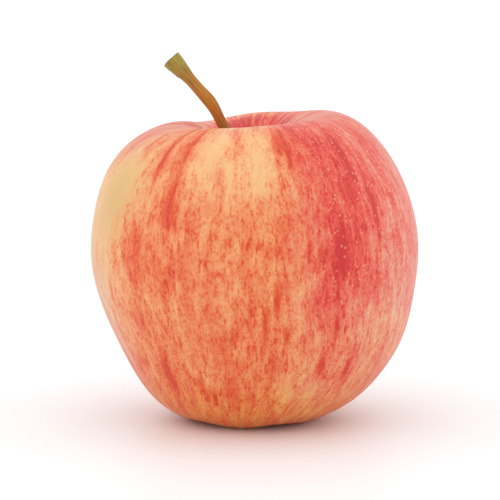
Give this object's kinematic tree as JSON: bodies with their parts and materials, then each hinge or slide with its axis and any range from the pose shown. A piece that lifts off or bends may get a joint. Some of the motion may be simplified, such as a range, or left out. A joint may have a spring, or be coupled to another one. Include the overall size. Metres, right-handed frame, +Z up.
{
  "type": "apple",
  "caption": "A ripe round eating apple with red-orange striping over yellow skin, a deep stalk cavity, a leaning woody stalk with a flared tip, and dried sepals in the basin below.",
  "frame": {"origin": "on the plane that the apple rests on, under the middle of its bounding box", "axes": "+Z is up along the core, +X is to the right of the striped face, and -Y is the way that face looks"},
  "size_m": [0.072, 0.072, 0.0812],
  "materials": {
    "skin": "satin",
    "bark": "satin",
    "dried_sepal": "matte",
    "dried_stamen": "matte"
  },
  "bodies": {
    "root": {"fruit": "skin", "stem": "bark", "sepal_1": "dried_sepal", "sepal_2": "dried_sepal", "sepal_3": "dried_sepal", "sepal_4": "dried_sepal", "sepal_5": "dried_sepal", "stamen_tuft": "dried_stamen"}
  },
  "joints": []
}
